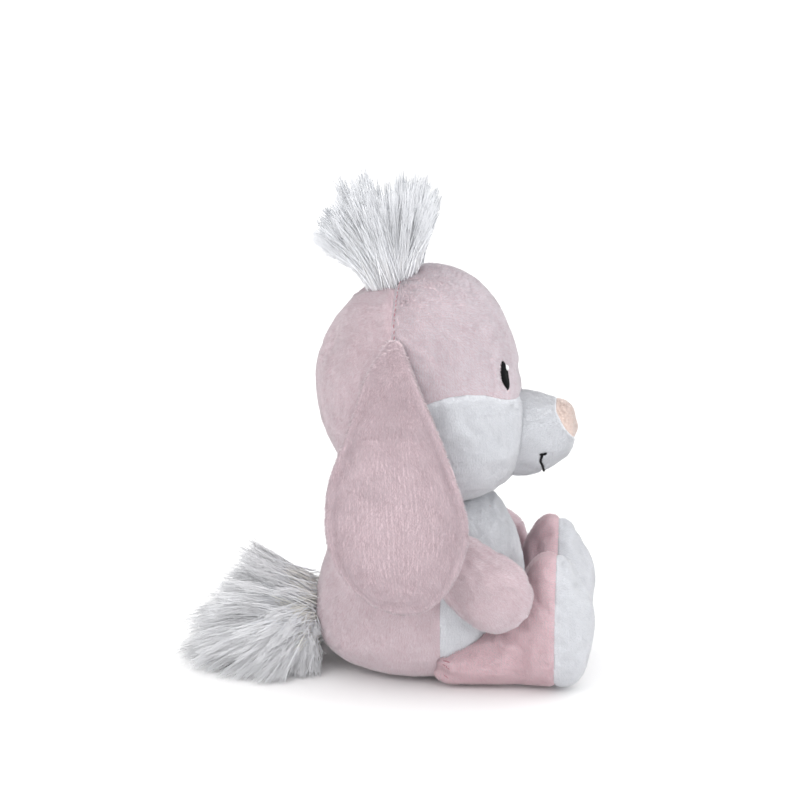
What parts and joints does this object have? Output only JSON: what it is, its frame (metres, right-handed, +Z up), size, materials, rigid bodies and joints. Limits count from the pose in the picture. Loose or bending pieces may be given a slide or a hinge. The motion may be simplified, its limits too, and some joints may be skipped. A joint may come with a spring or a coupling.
{
  "type": "plush rabbit toy",
  "caption": "Sitting plush rabbit with long hanging ears, a round white muzzle, forward legs with white soles, and long-fur tufts on the crown and as a tail.",
  "frame": {"origin": "middle of the flat seat underside, on the floor plane", "axes": "+Z up through the head, -Y the way the face looks, +X the rabbit's own left"},
  "size_m": [0.1432, 0.2055, 0.2488],
  "materials": {
    "pink_plush": "short pile plush",
    "white_plush": "short pile plush",
    "long_fur": "long straight pile",
    "polyester_fill": "loose polyester fibre",
    "nose_felt": "short pile plush",
    "black_thread": "satin stitch",
    "white_thread": "satin stitch",
    "pink_thread": "sewing thread",
    "knit_backing": "knitted backing"
  },
  "bodies": {
    "torso": {"torso_back": "pink_plush", "belly_panel": "white_plush", "seat_panel": "pink_plush", "torso_stuffing": "polyester_fill", "neck_seam": "pink_thread"},
    "neck": {"neck_core": "polyester_fill"},
    "head": {"head_back": "pink_plush", "forehead": "pink_plush", "cheek_right": "white_plush", "cheek_left": "white_plush", "head_stuffing": "polyester_fill", "muzzle": "white_plush", "muzzle_stuffing": "polyester_fill", "nose_patch": "nose_felt", "mouth_stitch": "black_thread", "eye_right": "black_thread", "eye_glint_right": "white_thread", "eye_left": "black_thread", "eye_glint_left": "white_thread", "tuft_backing": "knit_backing", "tuft_fur": "long_fur"},
    "tail": {"tail_root": "knit_backing", "tail_fur": "long_fur"},
    "ear_right": {"ear_right_outer": "pink_plush", "ear_right_lining": "pink_plush", "ear_right_wadding": "polyester_fill"},
    "arm_right": {"arm_right_outer": "pink_plush", "arm_right_inner": "pink_plush", "arm_right_stuffing": "polyester_fill"},
    "leg_right": {"leg_right_outer": "pink_plush", "leg_right_inner": "pink_plush", "leg_right_sole": "white_plush", "leg_right_stuffing": "polyester_fill"},
    "ear_left": {"ear_left_outer": "pink_plush", "ear_left_lining": "pink_plush", "ear_left_wadding": "polyester_fill"},
    "arm_left": {"arm_left_outer": "pink_plush", "arm_left_inner": "pink_plush", "arm_left_stuffing": "polyester_fill"},
    "leg_left": {"leg_left_outer": "pink_plush", "leg_left_inner": "pink_plush", "leg_left_sole": "white_plush", "leg_left_stuffing": "polyester_fill"}
  },
  "joints": [
    {"name": "neck_turn", "type": "hinge", "parent": "torso", "child": "neck", "pos_m": [0, -0.0025, 0.0886], "axis": [0, 0, 1], "range_deg": [-10, 10], "stiffness_Nm_per_rad": 0.6},
    {"name": "head_nod", "type": "hinge", "parent": "neck", "child": "head", "pos_m": [0, -0.0025, 0.0886], "axis": [1, 0, 0], "range_deg": [-7, 7], "stiffness_Nm_per_rad": 1.2},
    {"name": "ear_right_lift", "type": "hinge", "parent": "head", "child": "ear_right", "pos_m": [-0.042, 0.0092, 0.1763], "axis": [0, 1, 0], "range_deg": [0, 25], "stiffness_Nm_per_rad": 0.03},
    {"name": "ear_left_lift", "type": "hinge", "parent": "head", "child": "ear_left", "pos_m": [0.042, 0.0092, 0.1763], "axis": [0, -1, 0], "range_deg": [0, 25], "stiffness_Nm_per_rad": 0.03},
    {"name": "arm_right_raise", "type": "hinge", "parent": "torso", "child": "arm_right", "pos_m": [-0.041, -0.005, 0.075], "axis": [-1, 0, 0], "range_deg": [-8, 30], "stiffness_Nm_per_rad": 0.05},
    {"name": "arm_left_raise", "type": "hinge", "parent": "torso", "child": "arm_left", "pos_m": [0.041, -0.005, 0.075], "axis": [-1, 0, 0], "range_deg": [-8, 30], "stiffness_Nm_per_rad": 0.05},
    {"name": "leg_right_raise", "type": "hinge", "parent": "torso", "child": "leg_right", "pos_m": [-0.03, -0.013, 0.012], "axis": [-1, 0, 0], "range_deg": [0, 8], "stiffness_Nm_per_rad": 0.15},
    {"name": "leg_left_raise", "type": "hinge", "parent": "torso", "child": "leg_left", "pos_m": [0.03, -0.013, 0.012], "axis": [-1, 0, 0], "range_deg": [0, 8], "stiffness_Nm_per_rad": 0.15},
    {"name": "tail_raise", "type": "hinge", "parent": "torso", "child": "tail", "pos_m": [0, 0.06, 0.024], "axis": [1, 0, 0], "range_deg": [0, 15], "stiffness_Nm_per_rad": 0.05}
  ]
}
